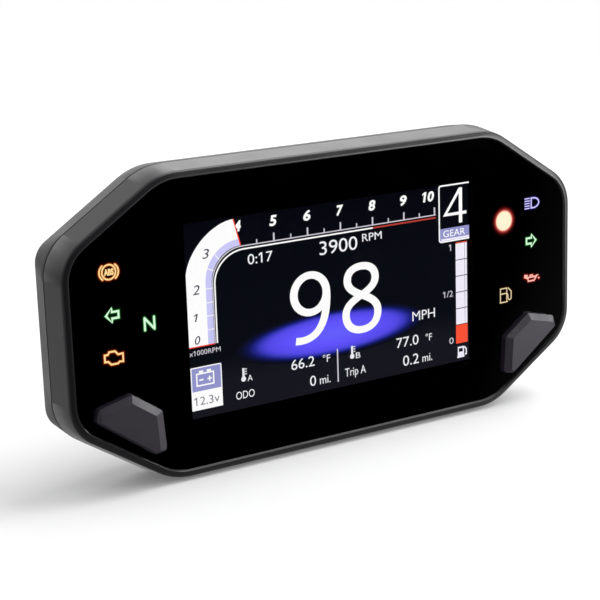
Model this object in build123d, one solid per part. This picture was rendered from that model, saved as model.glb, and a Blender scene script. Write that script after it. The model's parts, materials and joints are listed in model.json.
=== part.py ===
"""Motorcycle instrument cluster: eight-sided housing, colour display, tell-tale lamps and two push buttons.

Frame: X to the rider's right, Y from the rider into the object, Z up. The origin is the centre of the
four rear mounting inserts, on the plane of their bosses. Every size is in millimetres, and every "depth"
is measured rearwards from the foremost ridge of the bezel.
"""

import os
from math import atan2, degrees, hypot, radians, tan

from build123d import *

os.makedirs("parts", exist_ok=True)

# ---------------------------------------------------------------- overall sizes
MOUNT_DEPTH = 28.0  # plane of the rear mounting bosses

# Opening of the bezel: half sizes of the sharp eight-sided outline before its corners are rounded
HALF_WIDTH = 82.1
HALF_HEIGHT = 39.7
TOP_EDGE_HALF = 54.4
SIDE_EDGE_HALF = 21.8
TOP_CORNER_RADIUS = 16.0
SIDE_CORNER_RADIUS = 10.5

# ---------------------------------------------------------------- bezel and rear housing, offsets are outward
CREST_INNER = 0.35
CREST_OUTER = 0.7
CREASE_OFFSET = 2.1
CREASE_DEPTH = 0.55
CREASE_REACH = 0.6  # how far from the crease its rounding starts
CREASE_STEPS = 4
PARTING_OFFSET = 3.22
PARTING_FRONT = 8.95  # rear face of the bezel
PARTING_REAR = 9.4  # front face of the rear housing
GROOVE_OFFSET = 2.6  # outer side of the parting groove
SHOULDER_OFFSET = 2.46
SHOULDER_DEPTH = 15.6
SHOULDER_SHARPER = 6.0  # by which the side corners' radius is smaller there
BEVEL_OFFSET = 0.4
BEVEL_DEPTH = 17.8
BACK_OFFSET = -6.0
BACK_DEPTH = 20.5
BACK_SHARPER = 2.0
WALL = 2.2
INNER_WALL = 1.0  # offset of the bezel's inner wall
SEAL_BEAD = 0.7  # height of the seal's bead in the bezel's groove
BEAD_OFFSETS = (2.3, 1.7)  # outer and inner sides of the bead
SEAL_INNER = 1.3
MERGE = 0.3  # how far fused pieces reach into each other
TONGUE_OFFSETS = (0.85, 0.3)  # rim of the rear housing that enters the bezel
TONGUE_HEIGHT = 1.8
LEDGE_WIDTH = 3.0
LEDGE_REAR = 4.0
BULGE_SIZE = (116.0, 54.0)
BULGE_RADIUS = 8.0
BULGE_DEPTH = 25.0
BULGE_DRAFT = 12.0  # degrees
RIB_GROOVES = [-21.0 + 6.0 * i for i in range(8)]  # x of the shallow grooves on the rear face
RIB_GROOVE_SIZE = (1.6, 20.0)
RIB_GROOVE_Z = 12.0
RIB_GROOVE_DEPTH = 0.6
CAVITY_FRONT_OFFSETS = (0.3, 0.2)  # main cavity at the parting line and at the shoulder
CAVITY_REAR = [(BEVEL_DEPTH - 0.6, -1.6), (BACK_DEPTH - WALL, -7.6)]
BULGE_WALLS = 7.0  # both side walls of the bulge together
BULGE_ROOM_RADIUS = 6.0

# ---------------------------------------------------------------- front stack
LENS_FRONT = 0.7
LENS_REAR = 1.9
MASK_REAR = 2.05
TAPE_REAR = 2.35
LENS_GAP = 0.1
WINDOW_SIZE = (96.4, 55.2)
WINDOW_RADIUS = 0.8
TAPE_INSET = 0.3

# ---------------------------------------------------------------- 4.3 inch display module
ACTIVE_SIZE = (95.04, 53.86)
MODULE_SIZE = (105.5, 67.2)
CELL_SIZE = (102.6, 63.6)
FRAME_FRONT = 3.4
FRAME_SHEET = 0.3
CELL_FRONT = 3.7
CELL_REAR = 4.9
BACKLIGHT_REAR = 6.5
MODULE_REAR = 6.8
LIP_GAP = (2.4, 2.2)  # by which the frame's opening is larger than the active area
BACKLIGHT_GAP = 0.8
GASKET_SIZE = (103.5, 65.0)
GASKET_OPENING = (98.6, 57.4)
FLEX_X = 22.0
FLEX_WIDTH = 20.0
FLEX_THICKNESS = 0.2
FLEX_BEND = 0.9
FLEX_LOOP = 2.0  # how far it stands out below the module
FLEX_DEPTHS = (5.6, 15.0)  # where it leaves the display and where it enters its socket
FLEX_END_Z = -30.6
FLEX_SLOT = (24.0, 2.0)
FLEX_PASSAGE = (23.0, 5.6)  # through the carrier
SOCKET_Z = -28.4
SOCKET_SIZE = (24.0, 4.2)
SOCKET_HEIGHT = 2.2

# ---------------------------------------------------------------- push buttons
# x and z of the right hand button's corners, clockwise from its top
BUTTON_CORNERS = [(67.0, -15.1), (76.8, -17.4), (77.8, -20.7), (61.1, -32.8), (57.6, -32.2), (58.4, -21.1)]
BUTTON_CORNER_RADIUS = 1.3
BUTTON_TRAVEL = 1.0
BUTTON_CLEARANCE = 0.3
BEVEL_START = -1.0  # depth of the bevels' outer edge
BUTTON_TOP = -1.9
BEVEL_WIDTHS = [1.9, 1.0, 0.6, 0.9, 2.3, 2.0]  # on the edge from each corner to the next
FLANGE_FRONT = 2.2
FLANGE_REAR = 3.3
FLANGE_WIDTH = 0.9
FLANGE_CLEARANCE = 0.4
CAP_WALL = 1.8
CAP_HOLLOW_FRONT = 1.2
STEM_RADIUS = 2.2
STEM_REAR = 7.6
BUTTON_CENTRE = (66.0, -24.6)
SEAL_GROWTH = 1.8  # how far the sealing mat stands out round the button
SEAL_FRONT = 4.5
SEAL_REAR = 5.0
SEAL_CLEARANCE = 0.2
SEAL_LIP = 0.5
STEM_SEAL_GAP = 0.15
STEM_GUIDE_GAP = 0.25
GUIDE_RADIUS = 4.2

# ---------------------------------------------------------------- tell-tale lamps, x and z
TELLTALES_LEFT = [(-70.5, 18.0), (-70.5, 6.5), (-59.7, 2.6), (-70.5, -5.0)]
TELLTALES_RIGHT = [(70.5, 18.0), (60.0, 14.1), (70.5, 6.5), (70.5, -5.0), (60.2, -8.8)]
PIPE_RADIUS = 3.4
WELL_RADIUS = 3.6
PIPE_FRONT = 2.2
PIPE_REAR = 11.4
LED_SIZE = (2.0, 1.3)
LED_HEIGHT = 0.8

# ---------------------------------------------------------------- carrier and circuit board
CARRIER_OFFSET = -3.4
CARRIER_FRONT = 4.1
CARRIER_FLOOR = 6.9
CARRIER_REAR = 8.3
LIGHT_BOX_SIZE = (20.6, 35.3)
LIGHT_BOX_CENTRE = (65.2, 4.95)
LIGHT_BOX_FRONT = 2.4
LIGHT_BOX_REAR = 12.0
LIGHT_BOX_RADIUS = 2.0
CARRIER_WALL = 1.5
TRAY_SIZE = (109.5, 71.0)
TRAY_OPENING = (106.1, 67.8)
CARRIER_OPENING = (84.0, 44.0)
CARRIER_OPENING_RADIUS = 3.0
BOARD_FRONT = 12.4
BOARD_REAR = 14.0
BOARD_OFFSET = -5.4
BOARD_POSTS = [(-50.0, 30.0), (50.0, 30.0), (-50.0, -30.0), (50.0, -30.0), (-49.0, 0.0), (49.0, 0.0)]
POST_RADIUS = 2.6
BOARD_SCREW_RADIUS = 1.0
BOARD_PILOT_RADIUS = 0.85
BOARD_SCREW_TIP = 9.3
BOARD_SCREW_HEAD = (1.9, 1.2)
BOARD_NOTCH_GAP = 0.6  # round the housing screws' columns
SWITCH_SIZE = 6.2
SWITCH_FRONT = 9.0
SWITCH_RADIUS = 0.6
SWITCH_FLOOR = 0.8
PLUNGER_RADIUS = 1.7
PLUNGER_GAP = 0.1
OVERTRAVEL = 0.2  # left between the pressed plunger and the switch's floor

# packages on the rear face of the board: x, z, width, height, and how far they stand up
PROCESSOR = [(14.0, 12.0, 14.0, 14.0)]
PROCESSOR_HEIGHT = 1.4
MEMORY_CHIPS = [(-6.0, 16.0, 8.0, 6.0), (-6.0, 6.0, 8.0, 6.0)]
MEMORY_HEIGHT = 1.0
INDUCTOR = [(-48.0, -14.0, 7.0, 7.0)]
INDUCTOR_HEIGHT = 4.0
REGULATORS = [(-40.0, -3.0, 6.5, 6.5), (-46.0, 14.0, 5.0, 4.0)]
REGULATOR_HEIGHT = 1.6
CAPACITORS = [(-22.0, 4.0), (-22.0, -8.0), (24.0, -10.0)]
CAPACITOR_RADIUS = 4.0
CAPACITOR_HEIGHT = 7.0

# ---------------------------------------------------------------- fasteners, mounts and connector
HOUSING_SCREWS = [(-44.0, 37.1), (0.0, 37.1), (44.0, 37.1), (-44.0, -37.1), (0.0, -37.1), (44.0, -37.1)]
HOUSING_SCREWS += [(-79.2, 3.0), (79.2, 3.0)]
SCREW_RADIUS = 1.5
SCREW_TIP = 5.6
SCREW_SEAT = 16.6
SCREW_HEAD = (2.7, 1.8)
PILOT_UNDERSIZE = 0.2  # how much smaller a pilot hole's radius is than its screw's
PILOT_SPARE = 0.4  # depth of the pilot hole past the screw's tip
HEX_RADIUS = 1.25
HEX_FLOOR = 0.6
BOSS_RADIUS = 2.4
COUNTERBORE_RADIUS = 3.2
CLEARANCE = 0.2  # round a screw's shank, and of a column round its counterbore
BOSS_CLEARANCE = 0.3
MOUNT_SPACING = (70.0, 32.0)
INSERT_RADIUS = 3.5
INSERT_BORE = 2.1  # M5 thread, cut as its tapping drill
INSERT_LENGTH = 9.0
INSERT_WAIST = (3.6, 4.8)  # from the insert's front end
INSERT_WAIST_CUT = 0.4
MOUNT_BOSS_RADIUS = 6.5
INNER_BOSS_RADIUS = 5.0
INNER_BOSS_FRONT = 16.6
CONNECTOR_CENTRE = (0.0, -11.0)
CONNECTOR_SIZE = (32.0, 14.0)
CONNECTOR_WALL = 1.6
CONNECTOR_BASE = 16.4
CONNECTOR_REAR = 27.4
CONNECTOR_RADIUS = 2.0
CONNECTOR_INNER_RADIUS = 1.0
CONNECTOR_GAP = 1.2  # by which the rear wall's hole is larger than the socket
CONNECTOR_GAP_RADIUS = 1.6
COLLAR_GROWTH = 4.4
COLLAR_RADIUS = 2.6
KEY_SIZE = (5.0, 1.2)
LATCH_SIZE = (7.0, 1.2)
LATCH_DEPTHS = (26.1, 27.2)
PIN_COLUMNS = 8
PIN_PITCH = 3.0
PIN_ROW_GAP = 4.0
PIN_SIZE = 0.64
PIN_TIP = 22.6
PIN_TAIL = 11.6
VENT_CENTRE = (66.0, 14.0)
VENT_RADIUS = 5.0
VENT_PAD_RADIUS = 6.6
VENT_PAD_DEPTH = 21.1
MEMBRANE_RADIUS = 4.6
MEMBRANE_REAR = 21.25
VENT_HOLE_RADIUS = 2.5
SPIGOT_RADIUS = 2.4
SPIGOT_FRONT = 17.3
VENT_CHANNEL_RADIUS = 1.0
VENT_CAP_DEPTHS = (21.4, 22.7)
VENT_FEET = 4
VENT_FOOT_SIZE = (1.2, 1.6)
VENT_FOOT_PLACE = 3.9

DIAGONAL_ANGLE = degrees(atan2(HALF_HEIGHT - SIDE_EDGE_HALF, HALF_WIDTH - TOP_EDGE_HALF))


# ---------------------------------------------------------------- helpers
def plane(depth):
    """The sketch plane at a depth: local x is X, local y is Z, and its normal faces the rider."""
    return Plane(origin=(0, depth - MOUNT_DEPTH, 0), x_dir=(1, 0, 0), z_dir=(0, -1, 0))


def prism(face, near, far):
    """A flat face made solid between two depths."""
    return extrude(plane(far) * face, far - near)


def outline(growth, sharper=0.0):
    """The eight-sided outline with rounded corners, grown outward by an offset; its side corners can be sharper."""
    top = TOP_EDGE_HALF + growth * tan(radians(DIAGONAL_ANGLE / 2))
    side = SIDE_EDGE_HALF + growth * tan(radians(45 - DIAGONAL_ANGLE / 2))
    width = HALF_WIDTH + growth
    height = HALF_HEIGHT + growth
    half = [(width, side), (top, height), (-top, height), (-width, side)]
    corners = half + [(-x, -z) for x, z in half]
    face = make_face(Polyline(*corners, close=True))
    tops = [v for v in face.vertices() if abs(abs(v.Y) - height) < 0.01]
    face = fillet(tops, TOP_CORNER_RADIUS + growth)
    sides = [v for v in face.vertices() if abs(abs(v.X) - width) < 0.01]
    return fillet(sides, SIDE_CORNER_RADIUS + growth - sharper)


def ring(outer, inner, near, far):
    """A frame between two offsets of the outline."""
    return prism(outline(outer) - outline(inner), near, far)


def taper(sections):
    """A solid through outlines, each a depth and what outline() takes, joined by straight flanks."""
    return loft([plane(depth) * outline(*shape) for depth, *shape in sections], ruled=True)


def eased(before, corner, after):
    """A corner of a profile replaced by a curve in short steps."""
    ends = []
    for end in (before, after):
        share = CREASE_REACH / hypot(end[0] - corner[0], end[1] - corner[1])
        ends.append([c + (e - c) * share for c, e in zip(corner, end)])
    points = []
    for i in range(CREASE_STEPS + 1):
        t = i / CREASE_STEPS
        weights = ((1 - t) ** 2, 2 * t * (1 - t), t * t)
        points.append([sum(w * p[k] for w, p in zip(weights, (ends[0], corner, ends[1]))) for k in (0, 1)])
    return points


def box_frame(outer, inner, near, far, radius=1.0, inner_radius=0.6):
    """A rectangular frame given its outer and inner sizes."""
    return prism(RectangleRounded(*outer, radius) - RectangleRounded(*inner, inner_radius), near, far)


def rods(centres, radius, near, far):
    """Equal round bars at a list of places."""
    return [prism(Pos(x, z) * Circle(radius), near, far) for x, z in centres]


def fuse(first, others):
    """Adds a list of solids to the first."""
    for other in others:
        first = first + other
    return first


def cut(first, others):
    """Takes a list of solids away from the first."""
    for other in others:
        first = first - other
    return first


def left_of(part):
    """The left hand twin of a right hand part."""
    return mirror(part, about=Plane.YZ)


def save(name, part):
    """Writes one node; a list becomes a group of separate solids."""
    shape = Compound(children=list(part)) if isinstance(part, (list, tuple)) else part
    export_step(shape, f"parts/{name}.step")


def button_outline(growth=0.0):
    """The right hand button's outline, grown outward by an offset."""
    face = make_face(Polyline(*BUTTON_CORNERS, close=True))
    if growth:
        face = offset(face, amount=growth, kind=Kind.INTERSECTION)
    return fillet(face.vertices(), max(BUTTON_CORNER_RADIUS + growth, 0.4))


def button_openings(growth, near, far):
    """Both button openings as solids to take away."""
    right = prism(button_outline(growth), near, far)
    return [right, left_of(right)]


# ---------------------------------------------------------------- front of the cluster
def front_bezel():
    crest, rear = (0.0, CREST_OUTER), (PARTING_FRONT, PARTING_OFFSET)
    shell = taper([crest] + eased(crest, (CREASE_DEPTH, CREASE_OFFSET), rear) + [rear])
    mouth = taper([(0.0, CREST_INNER), (LENS_FRONT, 0.0)])
    pocket = prism(outline(0.0), LENS_FRONT, TAPE_REAR)
    window = prism(outline(-LEDGE_WIDTH), TAPE_REAR, LEDGE_REAR)
    cavity = prism(outline(INNER_WALL), LEDGE_REAR, PARTING_FRONT)
    groove = ring(*BEAD_OFFSETS, PARTING_FRONT - SEAL_BEAD, PARTING_FRONT)
    notches = button_openings(SEAL_GROWTH + SEAL_CLEARANCE, TAPE_REAR, LEDGE_REAR)
    body = cut(shell, [mouth, pocket, window, cavity, groove] + notches)
    # the bosses merge with the wall, and are trimmed just inside it
    inside = prism(outline(INNER_WALL + 0.2), LEDGE_REAR - MERGE, PARTING_FRONT)
    bosses = rods(HOUSING_SCREWS, BOSS_RADIUS, LEDGE_REAR - MERGE, PARTING_FRONT)
    body = fuse(body, [boss & inside for boss in bosses])
    pilots = rods(HOUSING_SCREWS, SCREW_RADIUS - PILOT_UNDERSIZE, SCREW_TIP - PILOT_SPARE, PARTING_FRONT)
    return cut(body, pilots)


def cover_lens():
    sheet = prism(outline(-LENS_GAP), LENS_FRONT, LENS_REAR)
    return cut(sheet, button_openings(BUTTON_CLEARANCE, LENS_FRONT, LENS_REAR))


def lens_mask():
    window = RectangleRounded(*WINDOW_SIZE, WINDOW_RADIUS)
    sheet = prism(outline(-LENS_GAP) - window, LENS_REAR, MASK_REAR)
    return cut(sheet, button_openings(BUTTON_CLEARANCE, LENS_REAR, MASK_REAR))


def lens_tape():
    frame = ring(-TAPE_INSET, LENS_GAP - LEDGE_WIDTH, MASK_REAR, TAPE_REAR)
    return cut(frame, button_openings(FLANGE_WIDTH + FLANGE_CLEARANCE, MASK_REAR, TAPE_REAR))


def perimeter_seal():
    web = ring(GROOVE_OFFSET, SEAL_INNER, PARTING_FRONT, PARTING_REAR)
    return web + ring(*BEAD_OFFSETS, PARTING_FRONT - SEAL_BEAD, PARTING_FRONT)


# ---------------------------------------------------------------- buttons
def edge_normal(start, end):
    """The outward unit normal of an edge of the button, whose corners run clockwise."""
    dx = end[0] - start[0]
    dz = end[1] - start[1]
    length = hypot(dx, dz)
    return (-dz / length, dx / length)


def bevel(solid, start, end, width):
    """Slopes a solid's face down to the bevels' outer edge, over a width inward from one edge."""
    nx, nz = edge_normal(start, end)
    rise = BEVEL_START - BUTTON_TOP
    origin = (start[0], BEVEL_START - MOUNT_DEPTH, start[1])
    slope = Plane(origin=origin, z_dir=(nx * rise, -width, nz * rise))
    return split(solid, bisect_by=slope, keep=Keep.BOTTOM)


def button_cap():
    """Right hand button: flat head bevelled all round, stop flange and stem."""
    head = prism(button_outline(), BUTTON_TOP, FLANGE_REAR)
    next_corners = BUTTON_CORNERS[1:] + BUTTON_CORNERS[:1]
    for start, end, width in zip(BUTTON_CORNERS, next_corners, BEVEL_WIDTHS):
        head = bevel(head, start, end, width)
    hollow = prism(button_outline(-CAP_WALL), CAP_HOLLOW_FRONT, FLANGE_REAR)
    flange = prism(button_outline(FLANGE_WIDTH) - button_outline(-CAP_WALL), FLANGE_FRONT, FLANGE_REAR)
    stem = prism(Pos(*BUTTON_CENTRE) * Circle(STEM_RADIUS), CAP_HOLLOW_FRONT - CLEARANCE, STEM_REAR)
    return (head - hollow) + flange + stem


def button_seal():
    """Silicone sealing mat under the right hand button."""
    mat = prism(button_outline(SEAL_GROWTH), SEAL_FRONT, SEAL_REAR)
    rim = button_outline(SEAL_GROWTH) - button_outline(SEAL_GROWTH - SEAL_LIP)
    lip = prism(rim, TAPE_REAR + LENS_GAP, SEAL_FRONT)
    hole = prism(Pos(*BUTTON_CENTRE) * Circle(STEM_RADIUS + STEM_SEAL_GAP), SEAL_FRONT, SEAL_REAR)
    return (mat + lip) - hole


def tact_switch():
    """Right hand switch body with its collar."""
    square = RectangleRounded(SWITCH_SIZE, SWITCH_SIZE, SWITCH_RADIUS)
    body = prism(Pos(*BUTTON_CENTRE) * square, SWITCH_FRONT, BOARD_FRONT)
    opening = Pos(*BUTTON_CENTRE) * Circle(PLUNGER_RADIUS + PLUNGER_GAP)
    bore = prism(opening, SWITCH_FRONT, BOARD_FRONT - SWITCH_FLOOR)
    return body - bore


def switch_plunger():
    rear = BOARD_FRONT - SWITCH_FLOOR - BUTTON_TRAVEL - OVERTRAVEL
    return prism(Pos(*BUTTON_CENTRE) * Circle(PLUNGER_RADIUS), STEM_REAR, rear)


# ---------------------------------------------------------------- display module
def lcd_cell():
    return prism(Rectangle(*CELL_SIZE), CELL_FRONT, CELL_REAR)


def lcd_frame():
    """Folded steel frame: a front lip round the active area, and side walls."""
    width, height = MODULE_SIZE
    opening = (ACTIVE_SIZE[0] + LIP_GAP[0], ACTIVE_SIZE[1] + LIP_GAP[1])
    lip = box_frame(MODULE_SIZE, opening, FRAME_FRONT, CELL_FRONT)
    inner = (width - 2 * FRAME_SHEET, height - 2 * FRAME_SHEET)
    walls = box_frame(MODULE_SIZE, inner, CELL_FRONT, MODULE_REAR)
    slot = prism(Pos(FLEX_X, -height / 2) * Rectangle(*FLEX_SLOT), CELL_REAR, MODULE_REAR)
    return (lip + walls) - slot


def lcd_backlight():
    width, height = MODULE_SIZE
    tray = RectangleRounded(width - BACKLIGHT_GAP, height - BACKLIGHT_GAP, BACKLIGHT_GAP)
    return prism(tray, CELL_REAR, BACKLIGHT_REAR)


def lcd_gasket():
    return box_frame(GASKET_SIZE, GASKET_OPENING, MASK_REAR, FRAME_FRONT)


def lcd_flex():
    """Flat cable from the display's lower edge, round the edge of the board, to the board's rear face."""
    front, rear = (depth - MOUNT_DEPTH for depth in FLEX_DEPTHS)
    low = -MODULE_SIZE[1] / 2 - FLEX_LOOP
    start = -MODULE_SIZE[1] / 2 + BACKLIGHT_GAP / 2
    route = [(front, start), (front, low), (rear, low), (rear, FLEX_END_Z)]
    path = Plane.YZ * FilletPolyline(*route, radius=FLEX_BEND)
    end = Plane(origin=(FLEX_X, *route[0]), x_dir=(1, 0, 0), z_dir=(0, 0, -1))
    return sweep(end * Rectangle(FLEX_WIDTH, FLEX_THICKNESS), path=path)


def lcd_socket():
    return prism(Pos(FLEX_X, SOCKET_Z) * Rectangle(*SOCKET_SIZE), BOARD_REAR, BOARD_REAR + SOCKET_HEIGHT)


# ---------------------------------------------------------------- carrier, light pipes and board
def light_box(side):
    x, z = LIGHT_BOX_CENTRE
    block = Pos(side * x, z) * RectangleRounded(*LIGHT_BOX_SIZE, LIGHT_BOX_RADIUS)
    return prism(block, LIGHT_BOX_FRONT, LIGHT_BOX_REAR)


def inner_carrier():
    """Black frame that carries the display, shields the lamps from each other and guides the buttons."""
    plate = prism(outline(CARRIER_OFFSET), CARRIER_FLOOR, CARRIER_REAR)
    wall = ring(CARRIER_OFFSET, CARRIER_OFFSET - CARRIER_WALL, CARRIER_FRONT, CARRIER_FLOOR)
    tray = box_frame(TRAY_SIZE, TRAY_OPENING, CARRIER_FRONT, CARRIER_FLOOR)
    guide = prism(Pos(*BUTTON_CENTRE) * Circle(GUIDE_RADIUS), SEAL_REAR, CARRIER_FLOOR)
    posts = rods(BOARD_POSTS, POST_RADIUS, CARRIER_REAR, BOARD_FRONT)
    body = fuse(plate, [wall, tray, light_box(1), light_box(-1), guide, left_of(guide)] + posts)
    wells = rods(TELLTALES_LEFT + TELLTALES_RIGHT, WELL_RADIUS, LIGHT_BOX_FRONT, BOARD_FRONT)
    stem = prism(Pos(*BUTTON_CENTRE) * Circle(STEM_RADIUS + STEM_GUIDE_GAP), SEAL_REAR, CARRIER_REAR)
    opening = RectangleRounded(*CARRIER_OPENING, CARRIER_OPENING_RADIUS)
    centre = prism(opening, CARRIER_FLOOR, CARRIER_REAR)
    flex_gap = Pos(FLEX_X, -MODULE_SIZE[1] / 2 - FLEX_LOOP / 2) * Rectangle(*FLEX_PASSAGE)
    flex_slot = prism(flex_gap, CARRIER_FRONT, CARRIER_REAR)
    pilots = rods(BOARD_POSTS, BOARD_PILOT_RADIUS, BOARD_SCREW_TIP - 0.5, BOARD_FRONT)
    clearance = rods(HOUSING_SCREWS, BOSS_RADIUS + BOSS_CLEARANCE, CARRIER_FRONT, CARRIER_REAR)
    seals = button_openings(SEAL_GROWTH + SEAL_CLEARANCE, LIGHT_BOX_FRONT, SEAL_REAR)
    return cut(body, wells + [stem, left_of(stem), centre, flex_slot] + pilots + clearance + seals)


def light_pipes(centres):
    """Clear plugs that spread each lamp's light behind its symbol."""
    return rods(centres, PIPE_RADIUS, PIPE_FRONT, PIPE_REAR)


def lamp_leds(centres):
    chip = Rectangle(*LED_SIZE)
    return [prism(Pos(x, z) * chip, BOARD_FRONT - LED_HEIGHT, BOARD_FRONT) for x, z in centres]


def main_board():
    board = prism(outline(BOARD_OFFSET), BOARD_FRONT, BOARD_REAR)
    holes = rods(BOARD_POSTS, BOARD_SCREW_RADIUS + CLEARANCE, BOARD_FRONT, BOARD_REAR)
    notches = rods(HOUSING_SCREWS, COUNTERBORE_RADIUS + BOARD_NOTCH_GAP, BOARD_FRONT, BOARD_REAR)
    pins = [prism(pin_at(i), BOARD_FRONT, BOARD_REAR) for i in range(2 * PIN_COLUMNS)]
    return cut(board, holes + notches + pins)


def board_screws():
    head_radius, head_height = BOARD_SCREW_HEAD
    heads = rods(BOARD_POSTS, head_radius, BOARD_REAR, BOARD_REAR + head_height)
    shanks = rods(BOARD_POSTS, BOARD_SCREW_RADIUS, BOARD_SCREW_TIP, BOARD_REAR)
    return [head + shank for head, shank in zip(heads, shanks)]


def chips(places, height):
    """Square or oblong packages on the rear face of the board."""
    return [prism(Pos(x, z) * Rectangle(w, h), BOARD_REAR, BOARD_REAR + height) for x, z, w, h in places]


def capacitors():
    return rods(CAPACITORS, CAPACITOR_RADIUS, BOARD_REAR, BOARD_REAR + CAPACITOR_HEIGHT)


# ---------------------------------------------------------------- rear of the cluster
def mount_places():
    dx, dz = MOUNT_SPACING[0] / 2, MOUNT_SPACING[1] / 2
    return [(-dx, -dz), (dx, -dz), (-dx, dz), (dx, dz)]


def rear_shell():
    """The rear housing's outside as one solid: tapered body, bulge, bosses, collar and vent pad."""
    body = taper(
        [
            (PARTING_REAR, PARTING_OFFSET),
            (SHOULDER_DEPTH, SHOULDER_OFFSET, SHOULDER_SHARPER),
            (BEVEL_DEPTH, BEVEL_OFFSET, SHOULDER_SHARPER),
            (BACK_DEPTH, BACK_OFFSET, BACK_SHARPER),
        ]
    )
    foot_depth = BACK_DEPTH - 1.0
    bulge_foot = plane(foot_depth) * RectangleRounded(*BULGE_SIZE, BULGE_RADIUS)
    bulge = extrude(bulge_foot, foot_depth - BULGE_DEPTH, taper=BULGE_DRAFT)
    bosses = rods(mount_places(), MOUNT_BOSS_RADIUS, BACK_DEPTH - 4.0, MOUNT_DEPTH)
    collar_size = [side + COLLAR_GROWTH for side in CONNECTOR_SIZE]
    collar_face = Pos(*CONNECTOR_CENTRE) * RectangleRounded(*collar_size, COLLAR_RADIUS)
    collar = prism(collar_face, BACK_DEPTH, BULGE_DEPTH + 1.0)
    vent_pad = prism(Pos(*VENT_CENTRE) * Circle(VENT_PAD_RADIUS), BACK_DEPTH - 1.5, VENT_PAD_DEPTH)
    return fuse(body, [bulge, collar, vent_pad] + bosses)


def rear_cavities():
    """The room inside the rear housing, and the deeper room inside its bulge."""
    front = [(PARTING_REAR, CAVITY_FRONT_OFFSETS[0]), (SHOULDER_DEPTH, CAVITY_FRONT_OFFSETS[1])]
    room_size = [side - BULGE_WALLS for side in BULGE_SIZE]
    room = RectangleRounded(*room_size, BULGE_ROOM_RADIUS)
    return [taper(front + CAVITY_REAR), prism(room, BACK_DEPTH - WALL - 1.0, BULGE_DEPTH - WALL)]


def rear_inner_walls():
    """Tongue, insert bosses and screw columns, trimmed just inside the outer wall."""
    inside = taper([(PARTING_REAR, 0.8), (SHOULDER_DEPTH, 0.8), (BEVEL_DEPTH, -1.0), (BACK_DEPTH, -7.0)])
    tongue = ring(*TONGUE_OFFSETS, PARTING_REAR - TONGUE_HEIGHT, PARTING_REAR + CLEARANCE)
    bosses = rods(mount_places(), INNER_BOSS_RADIUS, INNER_BOSS_FRONT, MOUNT_DEPTH)
    columns = rods(HOUSING_SCREWS, COUNTERBORE_RADIUS + CLEARANCE, PARTING_REAR, SCREW_SEAT)
    return [tongue] + bosses + [column & inside for column in columns]


def rear_holes():
    """Counterbores, screw and insert holes, the openings for socket and vent, and the shallow grooves."""
    beyond = BACK_DEPTH + 2.0
    tongue_front = PARTING_REAR - 2.0
    seats = rods(HOUSING_SCREWS, COUNTERBORE_RADIUS, SCREW_SEAT, beyond)
    screw_holes = rods(HOUSING_SCREWS, SCREW_RADIUS + CLEARANCE, tongue_front, SCREW_SEAT)
    tongue_gaps = rods(HOUSING_SCREWS, BOSS_RADIUS + BOSS_CLEARANCE, tongue_front, PARTING_REAR)
    inserts = rods(mount_places(), INSERT_RADIUS, MOUNT_DEPTH - INSERT_LENGTH, MOUNT_DEPTH)
    socket_hole = prism(Pos(*CONNECTOR_CENTRE) * connector_hole_face(), BACK_DEPTH - 4.0, BULGE_DEPTH + 2.0)
    vent_hole = prism(Pos(*VENT_CENTRE) * Circle(VENT_HOLE_RADIUS), BACK_DEPTH - 4.0, beyond)
    groove = RectangleRounded(*RIB_GROOVE_SIZE, 0.7)
    top, bottom = BULGE_DEPTH + 1.0, BULGE_DEPTH - RIB_GROOVE_DEPTH
    grooves = [prism(Pos(x, RIB_GROOVE_Z) * groove, bottom, top) for x in RIB_GROOVES]
    return seats + screw_holes + tongue_gaps + inserts + [socket_hole, vent_hole] + grooves


def rear_housing():
    walls = fuse(cut(rear_shell(), rear_cavities()), rear_inner_walls())
    return cut(walls, rear_holes())


def housing_screws():
    head_radius, head_height = SCREW_HEAD
    screws = []
    for x, z in HOUSING_SCREWS:
        head = prism(Pos(x, z) * Circle(head_radius), SCREW_SEAT, SCREW_SEAT + head_height)
        hexagon = Pos(x, z) * RegularPolygon(HEX_RADIUS, 6)
        socket = prism(hexagon, SCREW_SEAT + HEX_FLOOR, SCREW_SEAT + head_height)
        shank = prism(Pos(x, z) * Circle(SCREW_RADIUS), SCREW_TIP, SCREW_SEAT)
        screws.append((head - socket) + shank)
    return screws


def mount_inserts():
    """Four brass M5 inserts with a flange and a waist."""
    rear = MOUNT_DEPTH
    front = MOUNT_DEPTH - INSERT_LENGTH
    pieces = []
    for x, z in mount_places():
        body = prism(Pos(x, z) * Circle(INSERT_RADIUS), front, rear)
        waist_ring = Circle(INSERT_RADIUS) - Circle(INSERT_RADIUS - INSERT_WAIST_CUT)
        waist = prism(Pos(x, z) * waist_ring, front + INSERT_WAIST[0], front + INSERT_WAIST[1])
        bore = prism(Pos(x, z) * Circle(INSERT_BORE), front, rear)
        pieces.append(body - waist - bore)
    return pieces


def connector_hole_face():
    """The rear wall's opening round the socket, about its own centre."""
    size = [side + CONNECTOR_GAP for side in CONNECTOR_SIZE]
    return RectangleRounded(*size, CONNECTOR_GAP_RADIUS)


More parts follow.
